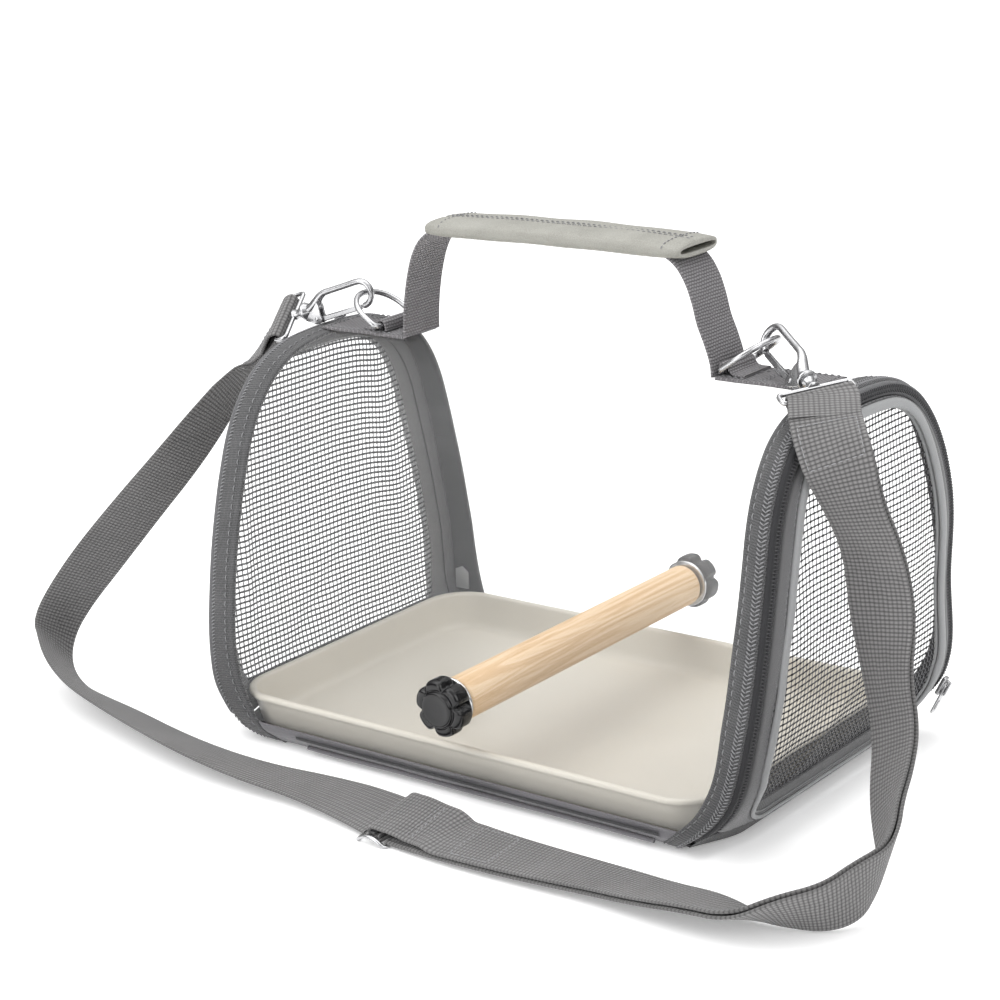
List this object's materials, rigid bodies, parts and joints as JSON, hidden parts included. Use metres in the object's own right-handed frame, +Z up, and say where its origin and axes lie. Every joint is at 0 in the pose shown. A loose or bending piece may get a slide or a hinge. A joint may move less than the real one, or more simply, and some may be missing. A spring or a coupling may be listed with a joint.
{
  "type": "bird travel carrier",
  "caption": "Soft travel carrier for a small bird: clear tunnel body on a fabric base, zipped mesh doors, tray, clamped perch, padded handle and clip-on shoulder strap.",
  "frame": {"origin": "on the floor under the middle of the carrier body", "axes": "+X along the tunnel from the left door to the right door, +Y from the front knob towards the rear knob, +Z up"},
  "size_m": [0.5495, 0.2758, 0.2665],
  "materials": {
    "clear_film": "gloss",
    "cover_fabric": "matte",
    "piping_tape": "matte",
    "mesh_cloth": "matte",
    "zip_tape": "matte",
    "board": "matte",
    "tray_plastic": "satin",
    "perch_wood": "satin",
    "knob_black": "satin",
    "knob_grey": "satin",
    "washer_steel": "satin",
    "bolt_steel": "satin",
    "nickel": "polished",
    "zip_metal": "satin",
    "webbing": "matte",
    "grip_pad": "satin"
  },
  "bodies": {
    "carrier": {"base_board": "board", "base_cover": "cover_fabric", "base_piping_front": "piping_tape", "base_piping_rear": "piping_tape", "clear_window": "clear_film", "left_d_ring": "nickel", "left_gate_pin": "bolt_steel", "left_handle_anchor": "webbing", "left_hook_body": "nickel", "left_hook_eye": "nickel", "left_rim": "cover_fabric", "left_ring_keeper": "webbing", "left_sill": "cover_fabric", "left_zip_slider": "zip_metal", "left_zipper": "zip_tape", "perch_dowel": "perch_wood", "right_d_ring": "nickel", "right_gate_pin": "bolt_steel", "right_handle_anchor": "webbing", "right_hook_body": "nickel", "right_hook_eye": "nickel", "right_rim": "cover_fabric", "right_ring_keeper": "webbing", "right_sill": "cover_fabric", "right_zip_slider": "zip_metal", "right_zipper": "zip_tape", "strap_left_run": "webbing", "strap_right_inner": "webbing", "strap_right_outer": "webbing", "strap_slider": "nickel"},
    "left_door": {"left_door_gusset": "cover_fabric", "left_door_piping": "piping_tape", "left_mesh_panel": "mesh_cloth"},
    "right_door": {"right_door_gusset": "cover_fabric", "right_door_piping": "piping_tape", "right_mesh_panel": "mesh_cloth"},
    "left_zip_tab": {"left_zip_pull": "zip_metal"},
    "right_zip_tab": {"right_zip_pull": "zip_metal"},
    "tray": {"tray": "tray_plastic"},
    "handle": {"handle_webbing": "webbing", "handle_grip": "grip_pad"},
    "left_gate": {"left_hook_gate": "nickel"},
    "right_gate": {"right_hook_gate": "nickel"},
    "front_washer": {"front_clamp_washer": "washer_steel"},
    "front_knob": {"front_knob": "knob_black", "front_stud": "bolt_steel"},
    "rear_washer": {"rear_clamp_washer": "washer_steel"},
    "rear_knob": {"rear_knob": "knob_grey", "rear_stud": "bolt_steel"}
  },
  "joints": [
    {"name": "left_door_fold", "type": "hinge", "parent": "carrier", "child": "left_door", "pos_m": [-0.16306, 0, 0.0098], "axis": [0, -1, 0], "range_deg": [0, 75], "deforming": ["strap_left_run"]},
    {"name": "right_door_fold", "type": "hinge", "parent": "carrier", "child": "right_door", "pos_m": [0.14119, 0, 0.0098], "axis": [0, 1, 0], "range_deg": [0, 75], "deforming": ["strap_right_outer", "strap_right_inner"]},
    {"name": "left_zip_tab_flip", "type": "hinge", "parent": "carrier", "child": "left_zip_tab", "pos_m": [-0.17078, 0.0959, 0.02742], "axis": [0, 1, 0], "range_deg": [0, 150]},
    {"name": "right_zip_tab_flip", "type": "hinge", "parent": "carrier", "child": "right_zip_tab", "pos_m": [0.15642, 0.0959, 0.02597], "axis": [0, -1, 0], "range_deg": [0, 150]},
    {"name": "tray_lift", "type": "slide", "parent": "carrier", "child": "tray", "axis": [0, 0, 1], "range_m": [0, 0.012]},
    {"name": "handle_swing", "type": "hinge", "parent": "carrier", "child": "handle", "pos_m": [0, 0, 0.2032], "axis": [1, 0, 0], "range_deg": [-75, 75], "stiffness_Nm_per_rad": 0.06, "deforming": ["handle_webbing"]},
    {"name": "left_gate_press", "type": "hinge", "parent": "carrier", "child": "left_gate", "pos_m": [-0.15972, -0.00496, 0.20543], "axis": [0.1707, -0.9853, 0], "range_deg": [0, 18], "stiffness_Nm_per_rad": 0.02, "springref_deg": -20.05},
    {"name": "right_gate_press", "type": "hinge", "parent": "carrier", "child": "right_gate", "pos_m": [0.14013, -0.01723, 0.20729], "axis": [0.3523, 0.8078, -0.4726], "range_deg": [0, 18], "stiffness_Nm_per_rad": 0.02, "springref_deg": -20.05},
    {"name": "front_washer_travel", "type": "slide", "parent": "carrier", "child": "front_washer", "axis": [0, -1, 0], "range_m": [0, 0.006]},
    {"name": "front_knob_turn", "type": "hinge", "parent": "front_washer", "child": "front_knob", "pos_m": [-0.003, -0.10727, 0.052], "axis": [0, -1, 0], "range_deg": [0, 1440]},
    {"name": "rear_washer_travel", "type": "slide", "parent": "carrier", "child": "rear_washer", "axis": [0, 1, 0], "range_m": [0, 0.006]},
    {"name": "rear_knob_turn", "type": "hinge", "parent": "rear_washer", "child": "rear_knob", "pos_m": [-0.003, 0.10727, 0.052], "axis": [0, 1, 0], "range_deg": [0, 1440]}
  ],
  "couplings": [
    {"joint": "front_washer_travel", "follows": "front_knob_turn", "m_per_rad": 0.00023873},
    {"joint": "rear_washer_travel", "follows": "rear_knob_turn", "m_per_rad": 0.00023873}
  ]
}
